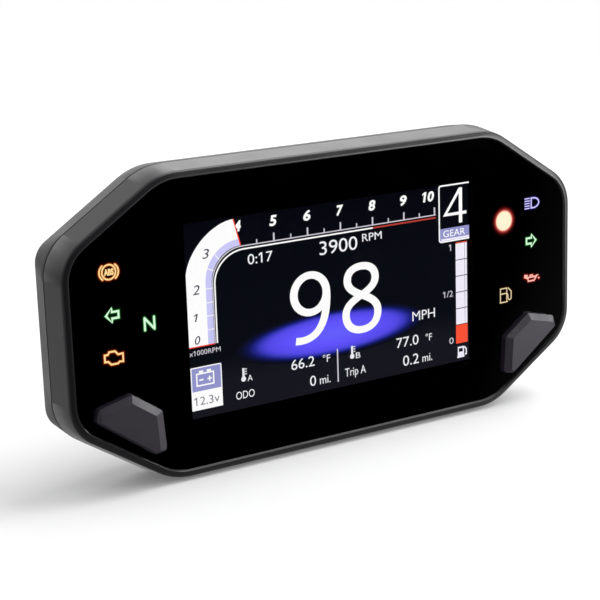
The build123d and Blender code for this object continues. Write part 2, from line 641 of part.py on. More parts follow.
def connector_shell():
    """Socket for the harness plug: a deep rectangular collar with its floor near the board."""
    width, height = CONNECTOR_SIZE
    place = Pos(*CONNECTOR_CENTRE)
    outer = prism(place * RectangleRounded(width, height, CONNECTOR_RADIUS), BOARD_REAR, CONNECTOR_REAR)
    hollow_size = (width - 2 * CONNECTOR_WALL, height - 2 * CONNECTOR_WALL)
    hollow_face = RectangleRounded(*hollow_size, CONNECTOR_INNER_RADIUS)
    hollow = prism(place * hollow_face, CONNECTOR_BASE, CONNECTOR_REAR)
    key_face = place * Pos(0, height / 2 - CONNECTOR_WALL) * Rectangle(*KEY_SIZE)
    key = prism(key_face, CONNECTOR_BASE, CONNECTOR_REAR)
    latch_face = place * Pos(0, height / 2 + 0.2) * Rectangle(*LATCH_SIZE)
    latch = prism(latch_face, *LATCH_DEPTHS)
    holes = [prism(pin_at(i), BOARD_REAR, CONNECTOR_BASE) for i in range(2 * PIN_COLUMNS)]
    return cut(outer - hollow, [key] + holes) + latch


def pin_at(index):
    """Section of one connector pin, numbered along two rows."""
    column = index % PIN_COLUMNS
    row = index // PIN_COLUMNS
    x = CONNECTOR_CENTRE[0] + (column - (PIN_COLUMNS - 1) / 2) * PIN_PITCH
    z = CONNECTOR_CENTRE[1] + (row - 0.5) * PIN_ROW_GAP
    return Pos(x, z) * Rectangle(PIN_SIZE, PIN_SIZE)


def connector_pins():
    return [prism(pin_at(i), PIN_TAIL, PIN_TIP) for i in range(2 * PIN_COLUMNS)]


def connector_seal():
    """Rubber ring in the gap between the socket and the rear wall."""
    ring_face = connector_hole_face() - RectangleRounded(*CONNECTOR_SIZE, CONNECTOR_RADIUS)
    return prism(Pos(*CONNECTOR_CENTRE) * ring_face, BULGE_DEPTH - WALL, BULGE_DEPTH + 0.7)


def vent_cap():
    """Breather cap on four feet over the pressure-balancing membrane, with a bored spigot."""
    near, far = VENT_CAP_DEPTHS
    place = Pos(*VENT_CENTRE)
    cap = prism(place * Circle(VENT_RADIUS), near, far)
    spigot = prism(place * Circle(SPIGOT_RADIUS), SPIGOT_FRONT, near)
    foot = Pos(VENT_FOOT_PLACE, 0) * Rectangle(*VENT_FOOT_SIZE)
    turns = [Rot(0, 0, 45 + 360 / VENT_FEET * i) for i in range(VENT_FEET)]
    feet = [prism(place * turn * foot, MEMBRANE_REAR, near) for turn in turns]
    channel = prism(place * Circle(VENT_CHANNEL_RADIUS), SPIGOT_FRONT, near - CLEARANCE)
    return fuse(cap, [spigot] + feet) - channel


def vent_membrane():
    face = Circle(MEMBRANE_RADIUS) - Circle(VENT_HOLE_RADIUS)
    return prism(Pos(*VENT_CENTRE) * face, VENT_PAD_DEPTH, MEMBRANE_REAR)


# ---------------------------------------------------------------- write every node
PARTS = {
    "front_bezel": front_bezel(),
    "cover_lens": cover_lens(),
    "lens_mask": lens_mask(),
    "lens_tape": lens_tape(),
    "perimeter_seal": perimeter_seal(),
    "lcd_cell": lcd_cell(),
    "lcd_frame": lcd_frame(),
    "lcd_backlight": lcd_backlight(),
    "lcd_gasket": lcd_gasket(),
    "lcd_flex": lcd_flex(),
    "lcd_socket": lcd_socket(),
    "inner_carrier": inner_carrier(),
    "light_pipes_left": light_pipes(TELLTALES_LEFT),
    "light_pipes_right": light_pipes(TELLTALES_RIGHT),
    "lamp_leds_left": lamp_leds(TELLTALES_LEFT),
    "lamp_leds_right": lamp_leds(TELLTALES_RIGHT),
    "main_board": main_board(),
    "board_screws": board_screws(),
    "processor": chips(PROCESSOR, PROCESSOR_HEIGHT),
    "memory_chips": chips(MEMORY_CHIPS, MEMORY_HEIGHT),
    "power_inductor": chips(INDUCTOR, INDUCTOR_HEIGHT),
    "regulators": chips(REGULATORS, REGULATOR_HEIGHT),
    "capacitors": capacitors(),
    "rear_housing": rear_housing(),
    "housing_screws": housing_screws(),
    "mount_inserts": mount_inserts(),
    "connector_shell": connector_shell(),
    "connector_pins": connector_pins(),
    "connector_seal": connector_seal(),
    "vent_cap": vent_cap(),
    "vent_membrane": vent_membrane(),
}

for name, maker in {
    "button_cap": button_cap,
    "button_seal": button_seal,
    "tact_switch": tact_switch,
    "switch_plunger": switch_plunger,
}.items():
    right = maker()
    PARTS[f"{name}_right"] = right
    PARTS[f"{name}_left"] = left_of(right)

for node, part in PARTS.items():
    save(node, part)
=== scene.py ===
"""Looks of a motorcycle instrument cluster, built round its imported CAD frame.

Places and sizes are in millimetres in the row frame: x to the rider's right, y into the object, z up.
Flat artwork is drawn in x and z and stands on a plane of constant y. Colours of the lit display are
8-bit display levels.
"""

import json
from math import cos, hypot, pi, radians, sin

import bmesh
import bpy
from mathutils import Matrix, Vector


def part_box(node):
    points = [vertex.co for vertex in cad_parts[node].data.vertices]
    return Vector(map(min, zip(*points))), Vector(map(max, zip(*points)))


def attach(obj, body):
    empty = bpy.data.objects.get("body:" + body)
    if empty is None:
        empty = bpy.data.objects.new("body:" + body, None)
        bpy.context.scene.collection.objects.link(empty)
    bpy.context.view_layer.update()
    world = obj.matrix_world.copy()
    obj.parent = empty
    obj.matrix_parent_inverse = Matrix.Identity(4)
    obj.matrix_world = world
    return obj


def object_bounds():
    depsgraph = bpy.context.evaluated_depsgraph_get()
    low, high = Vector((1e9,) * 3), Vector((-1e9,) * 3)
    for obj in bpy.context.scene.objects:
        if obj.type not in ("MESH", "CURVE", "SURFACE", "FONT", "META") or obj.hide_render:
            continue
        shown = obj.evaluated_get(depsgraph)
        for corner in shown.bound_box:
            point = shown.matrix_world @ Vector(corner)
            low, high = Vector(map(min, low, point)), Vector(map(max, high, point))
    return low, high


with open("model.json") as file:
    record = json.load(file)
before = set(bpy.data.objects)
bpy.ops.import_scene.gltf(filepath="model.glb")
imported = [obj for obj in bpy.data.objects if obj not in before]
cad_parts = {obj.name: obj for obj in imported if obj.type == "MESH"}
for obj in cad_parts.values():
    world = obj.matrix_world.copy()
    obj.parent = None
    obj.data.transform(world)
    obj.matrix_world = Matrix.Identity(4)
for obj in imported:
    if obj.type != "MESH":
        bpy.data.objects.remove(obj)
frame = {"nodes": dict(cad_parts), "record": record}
cad_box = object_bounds()
nodes = frame["nodes"]

MM = 0.001  # metres in a millimetre

# ---------------------------------------------------------------- camera
CAMERA_AZIMUTH = -32.16
CAMERA_ELEVATION = 13.86
CAMERA_ROLL = -1.89
CAMERA_PLACE = (-248.9, -402.0, 110.7)
CAMERA_LENS = 99.07
SENSOR_WIDTH = 36.0

# ---------------------------------------------------------------- light
AMBIENT = 0.7  # the world's even brightness, as matt surfaces receive it
FLOOR_LIFT = 0.09  # light that the floor gives off itself
FLOOR_GREY = 0.86
FLOOR_HALF = 8.0  # metres from the middle to each side
# what glossy surfaces mirror: brightness by the direction's y, times brightness by its z
BRIGHTNESS_BY_Y = (
    (-0.75, 0.005),
    (-0.64, 0.5),
    (-0.45, 0.8),
    (-0.28, 1.05),
    (0.1, 0.9),
    (0.75, 1.0),
    (1.0, 2.0),
)
BRIGHTNESS_BY_Z = (
    (-0.75, 0.45),
    (-0.3, 0.85),
    (-0.2, 0.7),
    (-0.05, 0.4),
    (0.22, 0.95),
    (0.35, 1.3),
    (0.6, 1.3),
)
KEY_STRENGTH = 1.75
KEY_SPREAD = 40  # degrees across, as seen from the object
KEY_DIRECTION = (0.50, -0.10, 0.86)
SOFTBOXES = {  # size, radiance and place, in metres
    "window_right": ((0.22, 0.20), 9.0, (0.42, -0.32, 0.10)),
    "strip_low_right": ((0.28, 0.07), 20.0, (0.42, -0.45, -0.004)),
    "window_rear": ((0.5, 0.5), 1.5, (0.42, 0.5, 0.5)),
}

# ---------------------------------------------------------------- surfaces
BLACK_INK = (0.0006, 0.0006, 0.0006)
LENS_LOSS = 1.06  # makes up for what the window mirrors
EVERY_DEPTH = 1e6  # metres; so large that y has no part in a distance
LIP_DEPTH = 0.35  # of the black on the display frame's front lip
LIP_FADE = 0.01
SHARP_EDGE = 14  # degrees; edges that turn by less are not rounded
WELD_REACH = 1e-6  # metres
ROUNDING = {  # millimetres, and how many faces round an edge
    "front_bezel": (0.12, 3),
    "rear_housing": (0.2, 3),
    "button_cap_left": (0.3, 4),
    "button_cap_right": (0.3, 4),
    "connector_shell": (0.2, 2),
    "vent_cap": (0.25, 3),
    "housing_screws": (0.15, 2),
    "mount_inserts": (0.15, 2),
}

# ---------------------------------------------------------------- display and artwork
ACTIVE_SIZE = (95.04, 53.86)
ART_STEP = 0.02  # from one layer of artwork to the next
ART_SHIFT = (0.5, -0.2)  # centres the display's drawing on its active area
ART_SPREAD = 0.003  # stretches it from its left side

# rev scale: lines that follow the left side, turn a corner and run along the top
SCALE_LEFT = -47.9
SCALE_BOTTOM = -6.7
SCALE_RED_FROM = 12.7
SCALE_END = 34.9
SCALE_LINE_Z = 18.0
OUTER_LINE_Z = 18.85
BAR_TOP = 26.6
BAR_MIDDLE = -41.9  # between the bar's white and its lavender edge
BAR_INNER = -40.0
MARK_WIDTH = 0.22
MARK_HEIGHTS = (-2.6, 1.2, 4.9, 8.7)
RPM_STEP = 10.92  # between two thousands on the straight part
RPM_FIVE = -20.1
TICK_FOOT = 18.9
NUMBER_FOOT = 23.0
NUMBER_HEAD = 26.0

# boxes beside the scale
GEAR_LEFT = 36.9
GEAR_RIGHT = 47.1
FUEL_LEFT = 42.05
FUEL_RIGHT = 46.2
FUEL_EDGES = (9.35, 4.3, -0.6, -5.5, -10.5, -15.45)  # heights of the segments' edges
BATTERY_LEFT = -47.75
BATTERY_RIGHT = -38.2
BATTERY_MIDDLE = -19.2


# ---------------------------------------------------------------- stage
def make_camera():
    """The camera before the object's left and a little above it, slightly rolled."""
    azimuth = radians(CAMERA_AZIMUTH)
    elevation = radians(CAMERA_ELEVATION)
    roll = radians(CAMERA_ROLL)
    back = Vector((sin(azimuth) * cos(elevation), -cos(azimuth) * cos(elevation), sin(elevation)))
    side = Vector((0, 0, 1)).cross(back).normalized()
    up = back.cross(side)
    right = cos(roll) * side + sin(roll) * up
    above = -sin(roll) * side + cos(roll) * up
    data = bpy.data.cameras.new("camera")
    data.lens = CAMERA_LENS
    data.sensor_width = SENSOR_WIDTH
    camera = bpy.data.objects.new("camera", data)
    turn = Matrix((right, above, back)).transposed().to_4x4()
    camera.matrix_world = Matrix.Translation(Vector(CAMERA_PLACE) * MM) @ turn
    bpy.context.scene.collection.objects.link(camera)
    bpy.context.scene.camera = camera


def key_light():
    """A wide, distant light from the upper right, as strong far off as at the object."""
    data = bpy.data.lights.new("key_right", "SUN")
    data.energy = KEY_STRENGTH
    data.angle = radians(KEY_SPREAD)
    lamp = bpy.data.objects.new("key_right", data)
    lamp.rotation_euler = (-Vector(KEY_DIRECTION)).to_track_quat("-Z", "Y").to_euler()
    bpy.context.scene.collection.objects.link(lamp)


def softbox(name, size, radiance, place):
    """A rectangular lamp, sizes and places in metres, that faces the origin and that no camera sees."""
    data = bpy.data.lights.new(name, "AREA")
    data.shape = "RECTANGLE"
    data.size, data.size_y = size
    data.energy = radiance * pi * size[0] * size[1]
    lamp = bpy.data.objects.new(name, data)
    lamp.location = place
    lamp.rotation_euler = (-Vector(place)).to_track_quat("-Z", "Y").to_euler()
    lamp.visible_camera = False
    bpy.context.scene.collection.objects.link(lamp)


def make_floor():
    """A wide pale floor at the object's lowest point."""
    half = FLOOR_HALF
    z = cad_box[0].z
    corners = [(-half, -half, z), (half, -half, z), (half, half, z), (-half, half, z)]
    mesh = bpy.data.meshes.new("floor")
    mesh.from_pydata(corners, [], [(0, 1, 2, 3)])
    material, shader = principled("floor_white", (FLOOR_GREY, FLOOR_GREY, FLOOR_GREY), 0.9)
    shader.inputs["Specular IOR Level"].default_value = 0.0
    shader.inputs["Emission Color"].default_value = (1, 1, 1, 1)
    shader.inputs["Emission Strength"].default_value = FLOOR_LIFT
    mesh.materials.append(material)
    floor = bpy.data.objects.new("floor", mesh)
    floor.visible_glossy = False
    floor.visible_transmission = False
    bpy.context.scene.collection.objects.link(floor)


def background(tree, strength):
    """A white background node of a strength."""
    node = tree.nodes.new("ShaderNodeBackground")
    node.inputs["Strength"].default_value = strength
    return node


def graded(tree, value, low, high):
    """A value mapped from (from, to) low to (from, to) high."""
    node = tree.nodes.new("ShaderNodeMapRange")
    node.inputs["From Min"].default_value, node.inputs["To Min"].default_value = low
    node.inputs["From Max"].default_value, node.inputs["To Max"].default_value = high
    tree.links.new(value, node.inputs["Value"])
    return node.outputs["Result"]


def stepped(tree, value, points):
    """A value from -1 to 1 led through (value, result) points, with results from 0 to 2."""
    node = tree.nodes.new("ShaderNodeFloatCurve")
    curve = node.mapping.curves[0]
    while len(curve.points) < len(points):
        curve.points.new(0.5, 0.5)
    for point, (place, result) in zip(curve.points, points):
        point.location = ((place + 1) / 2, result / 2)
        point.handle_type = "VECTOR"
    node.mapping.update()
    tree.links.new(graded(tree, value, (-1, 0), (1, 1)), node.inputs["Value"])
    return graded(tree, node.outputs["Value"], (0, 0), (1, 2))


def make_world():
    """Even white light; what glossy surfaces mirror is bright behind the object and dark before it."""
    world = bpy.data.worlds.new("studio")
    bpy.context.scene.world = world
    world.use_nodes = True
    tree = world.node_tree
    tree.nodes.clear()
    link = tree.links.new
    direction = tree.nodes.new("ShaderNodeTexCoord")
    parts = tree.nodes.new("ShaderNodeSeparateXYZ")
    both = tree.nodes.new("ShaderNodeMath")
    both.operation = "MULTIPLY"
    mirrored = background(tree, 1.0)
    rays = tree.nodes.new("ShaderNodeLightPath")
    lighting = tree.nodes.new("ShaderNodeMixShader")
    seen = tree.nodes.new("ShaderNodeMixShader")
    out = tree.nodes.new("ShaderNodeOutputWorld")
    link(direction.outputs["Generated"], parts.inputs[0])
    link(stepped(tree, parts.outputs["Y"], BRIGHTNESS_BY_Y), both.inputs[0])
    link(stepped(tree, parts.outputs["Z"], BRIGHTNESS_BY_Z), both.inputs[1])
    link(both.outputs[0], mirrored.inputs["Strength"])
    link(rays.outputs["Is Diffuse Ray"], lighting.inputs["Fac"])
    link(mirrored.outputs[0], lighting.inputs[1])
    link(background(tree, AMBIENT).outputs[0], lighting.inputs[2])
    link(rays.outputs["Is Camera Ray"], seen.inputs["Fac"])
    link(lighting.outputs[0], seen.inputs[1])
    link(background(tree, 1.0).outputs[0], seen.inputs[2])
    link(seen.outputs[0], out.inputs["Surface"])


# ---------------------------------------------------------------- materials
def principled(name, colour, roughness, metallic=0.0):
    """A new material and its Principled shader."""
    material = bpy.data.materials.new(name)
    material.use_nodes = True
    shader = material.node_tree.nodes["Principled BSDF"]
    shader.inputs["Base Color"].default_value = (*colour, 1.0)
    shader.inputs["Roughness"].default_value = roughness
    shader.inputs["Metallic"].default_value = metallic
    return material, shader


def noise(material, size, detail=2.0, stretch=(1, 1, 1)):
    """A noise texture in the row frame, whose features are about a size in millimetres."""
    tree = material.node_tree
    place = tree.nodes.new("ShaderNodeTexCoord")
    mapping = tree.nodes.new("ShaderNodeMapping")
    mapping.inputs["Scale"].default_value = stretch
    texture = tree.nodes.new("ShaderNodeTexNoise")
    texture.inputs["Scale"].default_value = 1.0 / (size * MM)
    texture.inputs["Detail"].default_value = detail
    tree.links.new(place.outputs["Object"], mapping.inputs["Vector"])
    tree.links.new(mapping.outputs["Vector"], texture.inputs["Vector"])
    return texture.outputs["Fac"]


def spread(material, value, low, high):
    """Noise, which mostly lies from 0.3 to 0.7, mapped to a range."""
    node = material.node_tree.nodes.new("ShaderNodeMapRange")
    node.inputs["From Min"].default_value = 0.3
    node.inputs["From Max"].default_value = 0.7
    node.inputs["To Min"].default_value = low
    node.inputs["To Max"].default_value = high
    material.node_tree.links.new(value, node.inputs["Value"])
    return node.outputs["Result"]


def shade(material, value, dark, light):
    """A colour between two, by noise."""
    mix = material.node_tree.nodes.new("ShaderNodeMix")
    mix.data_type = "RGBA"
    mix.inputs["A"].default_value = (*dark, 1.0)
    mix.inputs["B"].default_value = (*light, 1.0)
    material.node_tree.links.new(spread(material, value, 0.0, 1.0), mix.inputs["Factor"])
    return mix.outputs["Result"]


def bump(material, shader, value, height):
    """Relief of a height in millimetres."""
    node = material.node_tree.nodes.new("ShaderNodeBump")
    node.inputs["Distance"].default_value = height * MM
    node.inputs["Strength"].default_value = 1.0
    material.node_tree.links.new(value, node.inputs["Height"])
    material.node_tree.links.new(node.outputs["Normal"], shader.inputs["Normal"])


def moulded(name, colour, roughness, grain=0.3, relief=0.01, metallic=0.0, contrast=0.1, specular=0.5):
    """Moulded, cast or rolled stuff: grained relief, and colour and roughness that vary a little."""
    material, shader = principled(name, colour, roughness, metallic)
    shader.inputs["Specular IOR Level"].default_value = specular
    link = material.node_tree.links.new
    patches = noise(material, 9.0, 3.0)
    fine = noise(material, grain, 2.0)
    dark = [c * (1 - contrast) for c in colour]
    light = [min(1.0, c * (1 + contrast)) for c in colour]
    link(shade(material, fine, dark, light), shader.inputs["Base Color"])
    link(spread(material, patches, roughness * 0.92, roughness * 1.08), shader.inputs["Roughness"])
    bump(material, shader, fine, relief)
    return material


def bands(material, size, direction="X"):
    """Parallel bands across a direction, a size in millimetres from one to the next."""
    tree = material.node_tree
    place = tree.nodes.new("ShaderNodeTexCoord")
    wave = tree.nodes.new("ShaderNodeTexWave")
    wave.bands_direction = direction
    wave.inputs["Scale"].default_value = pi / 10 / (size * MM)
    tree.links.new(place.outputs["Object"], wave.inputs["Vector"])
    return wave.outputs["Fac"]


def striped(name, dark, light, size, direction, roughness, metallic=0.0, relief=0.0):
    """Two colours in bands, such as tracks on film or the marks of a lathe."""
    material, shader = principled(name, dark, roughness, metallic)
    stripes = bands(material, size, direction)
    material.node_tree.links.new(shade(material, stripes, dark, light), shader.inputs["Base Color"])
    patches = noise(material, 4.0, 3.0)
    rough = spread(material, patches, roughness * 0.8, roughness * 1.2)
    material.node_tree.links.new(rough, shader.inputs["Roughness"])
    if relief:
        bump(material, shader, stripes, relief)
    return material


def clear_window(name):
    """Hard-coated clear sheet with the faintest haze in patches."""
    material, shader = principled(name, (1, 1, 1), 0.0)
    shader.inputs["Transmission Weight"].default_value = 1.0
    shader.inputs["IOR"].default_value = 1.49
    shader.inputs["Specular IOR Level"].default_value = 0.25
    haze = spread(material, noise(material, 14.0, 4.0), 0.0, 0.035)
    material.node_tree.links.new(haze, shader.inputs["Roughness"])
    return material


def frosted(name):
    """Light guide with a fine etched surface."""
    material, shader = principled(name, (0.82, 0.84, 0.85), 0.45)
    shader.inputs["Transmission Weight"].default_value = 0.6
    etching = noise(material, 0.25, 2.0)
    material.node_tree.links.new(spread(material, etching, 0.35, 0.6), shader.inputs["Roughness"])
    bump(material, shader, etching, 0.01)
    return material


def lipped_steel(name):
    """Tinned sheet with drawing marks, black over its front lip."""
    material, shader = principled(name, (0.55, 0.56, 0.57), 0.3, 1.0)
    tree = material.node_tree
    place = tree.nodes.new("ShaderNodeTexCoord")
    parts = tree.nodes.new("ShaderNodeSeparateXYZ")
    tree.links.new(place.outputs["Object"], parts.inputs[0])
    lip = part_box("lcd_frame")[0].y
    fade_start = lip + (LIP_DEPTH - LIP_FADE) * MM
    fade_end = lip + (LIP_DEPTH + LIP_FADE) * MM
    bare = graded(tree, parts.outputs["Y"], (fade_start, 0.0), (fade_end, 1.0))
    drawn = noise(material, 0.6, 3.0, (0.08, 1, 1))
    steel = shade(material, drawn, (0.45, 0.46, 0.47), (0.66, 0.67, 0.68))
    mix = tree.nodes.new("ShaderNodeMix")
    mix.data_type = "RGBA"
    mix.inputs["A"].default_value = (0.0008, 0.0008, 0.0008, 1.0)
    tree.links.new(bare, mix.inputs["Factor"])
    tree.links.new(steel, mix.inputs["B"])
    tree.links.new(mix.outputs["Result"], shader.inputs["Base Color"])
    tree.links.new(bare, shader.inputs["Metallic"])
    tree.links.new(spread(material, drawn, 0.25, 0.42), shader.inputs["Roughness"])
    bump(material, shader, drawn, 0.004)
    shader.inputs["Specular IOR Level"].default_value = 0.1
    return material


def circuit_board(name):
    """Green solder mask over tracks that run both ways."""
    material, shader = principled(name, (0.01, 0.09, 0.035), 0.3)
    tree = material.node_tree
    crossing = tree.nodes.new("ShaderNodeMath")
    crossing.operation = "MULTIPLY"
    tree.links.new(bands(material, 1.3, "X"), crossing.inputs[0])
    tree.links.new(bands(material, 1.7, "Z"), crossing.inputs[1])
    blotches = noise(material, 6.0, 1.0)
    tracks = tree.nodes.new("ShaderNodeMath")
    tracks.operation = "MULTIPLY_ADD"
    tracks.inputs[1].default_value = 0.35
    tree.links.new(crossing.outputs[0], tracks.inputs[0])
    tree.links.new(spread(material, blotches, 0.15, 0.45), tracks.inputs[2])
    green = shade(material, tracks.outputs[0], (0.006, 0.055, 0.022), (0.02, 0.15, 0.05))
    tree.links.new(green, shader.inputs["Base Color"])
    tree.links.new(spread(material, blotches, 0.22, 0.4), shader.inputs["Roughness"])
    bump(material, shader, tracks.outputs[0], 0.02)
    return material


def linear(levels):
    """Linear colour of 8-bit display levels, by the sRGB rule."""
    scaled = [level / 255 for level in levels]
    return [c / 12.92 if c <= 0.04045 else ((c + 0.055) / 1.055) ** 2.4 for c in scaled]


def emitter(name):
    """A black material that only shines, and its Principled shader."""
    material, shader = principled(name, (0, 0, 0), 0.6)
    shader.inputs["Specular IOR Level"].default_value = 0.0
    shader.inputs["Emission Strength"].default_value = LENS_LOSS
    return material, shader


def lit(name, levels, evenness=0.05):
    """Part of a lit picture or lamp, with the slight unevenness of its light."""
    material, shader = emitter(name)
    colour = linear(levels)
    dim = [c * (1 - evenness) for c in colour]
    patches = noise(material, 22.0, 1.0)
    material.node_tree.links.new(shade(material, patches, dim, colour), shader.inputs["Emission Color"])
    return material


def ramp(material, value, stops):
    """A colour by a value from 0 to 1, through (position, display levels) stops."""
    node = material.node_tree.nodes.new("ShaderNodeValToRGB")
    elements = node.color_ramp.elements
    while len(elements) < len(stops):
        elements.new(1.0)
    for element, (position, levels) in zip(elements, stops):
        element.position = position
        element.color = (*linear(levels), 1.0)
    material.node_tree.links.new(value, node.inputs["Fac"])
    return node.outputs["Color"]


def radial_light(name, centre, radii, reach, stops):
    """Light that changes with the distance from a centre, in radii, out to a reach."""
    material, shader = emitter(name)
    tree = material.node_tree
    place = tree.nodes.new("ShaderNodeTexCoord")
    mapping = tree.nodes.new("ShaderNodeMapping")
    mapping.vector_type = "TEXTURE"
    x, z = centre
    mapping.inputs["Location"].default_value = (x * MM, 0, z * MM)
    mapping.inputs["Scale"].default_value = (radii[0] * reach * MM, EVERY_DEPTH, radii[1] * reach * MM)
    distance = tree.nodes.new("ShaderNodeVectorMath")
    distance.operation = "LENGTH"
    tree.links.new(place.outputs["Object"], mapping.inputs["Vector"])
    tree.links.new(mapping.outputs["Vector"], distance.inputs[0])
    scaled = [(position / reach, levels) for position, levels in stops]
    colour = ramp(material, distance.outputs["Value"], scaled)
    tree.links.new(colour, shader.inputs["Emission Color"])
    return material


def upright_light(name, low, high, stops):
    """Light that changes with height, between two heights."""
    material, shader = emitter(name)
    tree = material.node_tree
    place = tree.nodes.new("ShaderNodeTexCoord")
    parts = tree.nodes.new("ShaderNodeSeparateXYZ")
    height = tree.nodes.new("ShaderNodeMapRange")
    height.inputs["From Min"].default_value = low * MM
    height.inputs["From Max"].default_value = high * MM
    tree.links.new(place.outputs["Object"], parts.inputs[0])
    tree.links.new(parts.outputs["Z"], height.inputs["Value"])
    tree.links.new(ramp(material, height.outputs["Result"], stops), shader.inputs["Emission Color"])
    return material


# ---------------------------------------------------------------- flat artwork: lists of faces in x and z
def box(left, bottom, right, top):
    """A rectangle."""
    return [[(left, bottom), (right, bottom), (right, top), (left, top)]]


def arc(x, z, rx, rz, start, end, count=24):
    """Points of an elliptical arc, angles in degrees anticlockwise from +X."""
    angles = [radians(start + (end - start) * i / count) for i in range(count + 1)]
    return [(x + rx * cos(a), z + rz * sin(a)) for a in angles]


def corner(left, bottom, right, top, power=2.0, count=20):
    """Points that turn from going up along the left to going right along the top."""
    points = []
    for i in range(count + 1):
        a = radians(90 * i / count)
        x = right - (right - left) * cos(a) ** (2 / power)
        z = bottom + (top - bottom) * sin(a) ** (2 / power)
        points.append((x, z))
    return points


def bezier(a, b, c, d, count=20):
    """Points of a curve from a to d, led by b and c."""
    points = []
    for i in range(count + 1):
        t = i / count
        weights = ((1 - t) ** 3, 3 * t * (1 - t) ** 2, 3 * t * t * (1 - t), t ** 3)
        points.append(tuple(sum(w * p[k] for w, p in zip(weights, (a, b, c, d))) for k in (0, 1)))
    return points


def disc(x, z, radius, count=48):
    """A full disc."""
    return [arc(x, z, radius, radius, 0, 360 - 360 / count, count - 1)]


def between(first, second):
    """Faces between two lines with the same number of points."""
    pairs = list(zip(first, second))
    return [[a, b, d, c] for (a, b), (c, d) in zip(pairs, pairs[1:])]


def stroke(points, width, closed=False, round_ends=False, sharpest=0.25):
    """Faces of a line of constant width, with mitred corners that are cut short where they are sharp."""
    count = len(points)
    lefts, rights = [], []
    for i, (x, z) in enumerate(points):
        before = points[i - 1] if closed or i > 0 else None
        after = points[(i + 1) % count] if closed or i < count - 1 else None
        normals = []
        for start, end in ((before, (x, z)), ((x, z), after)):
            if start and end:
                length = hypot(end[0] - start[0], end[1] - start[1])
                normals.append(((start[1] - end[1]) / length, (end[0] - start[0]) / length))
        nx = sum(n[0] for n in normals) / len(normals)
        nz = sum(n[1] for n in normals) / len(normals)
        reach = width / 2 / max(nx * nx + nz * nz, sharpest)
        lefts.append((x + nx * reach, z + nz * reach))
        rights.append((x - nx * reach, z - nz * reach))
    if closed:
        return between(lefts + lefts[:1], rights + rights[:1])
    faces = between(lefts, rights)
    if round_ends:
        for here, near, far in ((points[0], rights[0], lefts[0]), (points[-1], lefts[-1], rights[-1])):
            faces.append(half_disc(here, near, far))
    return faces


def half_disc(centre, start, end, count=8):
    """A half disc that closes a line's end, clockwise from start to end."""
    dx, dz = start[0] - centre[0], start[1] - centre[1]
    turns = [radians(-180 * i / count) for i in range(count)]
    rim = [(centre[0] + dx * cos(t) - dz * sin(t), centre[1] + dx * sin(t) + dz * cos(t)) for t in turns]
    return rim + [end]


def glyph_mesh(body, slant, weight):
    """Vertices and faces of a line of text, one unit of font size."""
    curve = bpy.data.curves.new("lettering", "FONT")
    curve.body = body
    curve.shear = slant
    curve.offset = weight
    curve.resolution_u = 5
    source = bpy.data.objects.new("lettering", curve)
    mesh = bpy.data.meshes.new_from_object(source)
    points = [tuple(v.co[:2]) for v in mesh.vertices]
    faces = [[points[i] for i in p.vertices] for p in mesh.polygons]
    bpy.data.objects.remove(source)
    bpy.data.curves.remove(curve)
    bpy.data.meshes.remove(mesh)
    return points, faces


FLAG = ((0.0, 0.70), (0.0, 0.57), (-0.15, 0.47), (-0.15, 0.59))  # the stroke that a figure 1 starts with


def words(body, left, bottom, right, top, slant=0.0, weight=0.0):
    """Faces of a line of text, fitted to a box."""
    points, faces = glyph_mesh(body, slant, weight)
    stem, _ = glyph_mesh("1", 0.0, weight)
    width = max(x for x, z in stem) - min(x for x, z in stem)
    for i, letter in enumerate(body):
        if letter == "1":
            so_far, _ = glyph_mesh(body[: i + 1], 0.0, weight)
            edge = max(x for x, z in so_far) - width + 0.01
            flag = [(edge + x + slant * z, z) for x, z in FLAG]
            faces.append(flag)
            points = points + flag
    low = [min(p[k] for p in points) for k in (0, 1)]
    high = [max(p[k] for p in points) for k in (0, 1)]
    sx = (right - left) / (high[0] - low[0])
    sz = (top - bottom) / (high[1] - low[1])
    return [[(left + (x - low[0]) * sx, bottom + (z - low[1]) * sz) for x, z in face] for face in faces]


def shifted(faces, dx, dz):
    """The same faces, moved."""
    return [[(x + dx, z + dz) for x, z in face] for face in faces]


def plate(name, faces, plane, layer, material):
    """A thin solid of flat artwork that stands on a plane of constant y, up to its layer's height."""
    height = (layer + 1) * ART_STEP * MM
    mesh_maker = bmesh.new()
    for face in faces:
        mesh_maker.faces.new([mesh_maker.verts.new((x * MM, plane - height, z * MM)) for x, z in face])
    bmesh.ops.remove_doubles(mesh_maker, verts=mesh_maker.verts, dist=1e-7)
    mesh_maker.normal_update()
    turned = [f for f in mesh_maker.faces if f.normal.y > 0]
    bmesh.ops.reverse_faces(mesh_maker, faces=turned)
    mesh_maker.normal_update()
    bmesh.ops.solidify(mesh_maker, geom=mesh_maker.faces[:], thickness=height)
    mesh = bpy.data.meshes.new(name)
    mesh_maker.to_mesh(mesh)
    mesh_maker.free()
    mesh.materials.append(material)
    piece = bpy.data.objects.new(name, mesh)
    bpy.context.scene.collection.objects.link(piece)
    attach(piece, "housing")


# ---------------------------------------------------------------- picture on the display
def display_plate(name, faces, layer, material):
    """Artwork on the display's glass, fitted to its active area."""
    shifted_faces = shifted(faces, *ART_SHIFT)
    moved = [[(x + ART_SPREAD * (x - SCALE_LEFT), z) for x, z in face] for face in shifted_faces]
    plate(name, moved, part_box("lcd_cell")[0].y, layer, material)


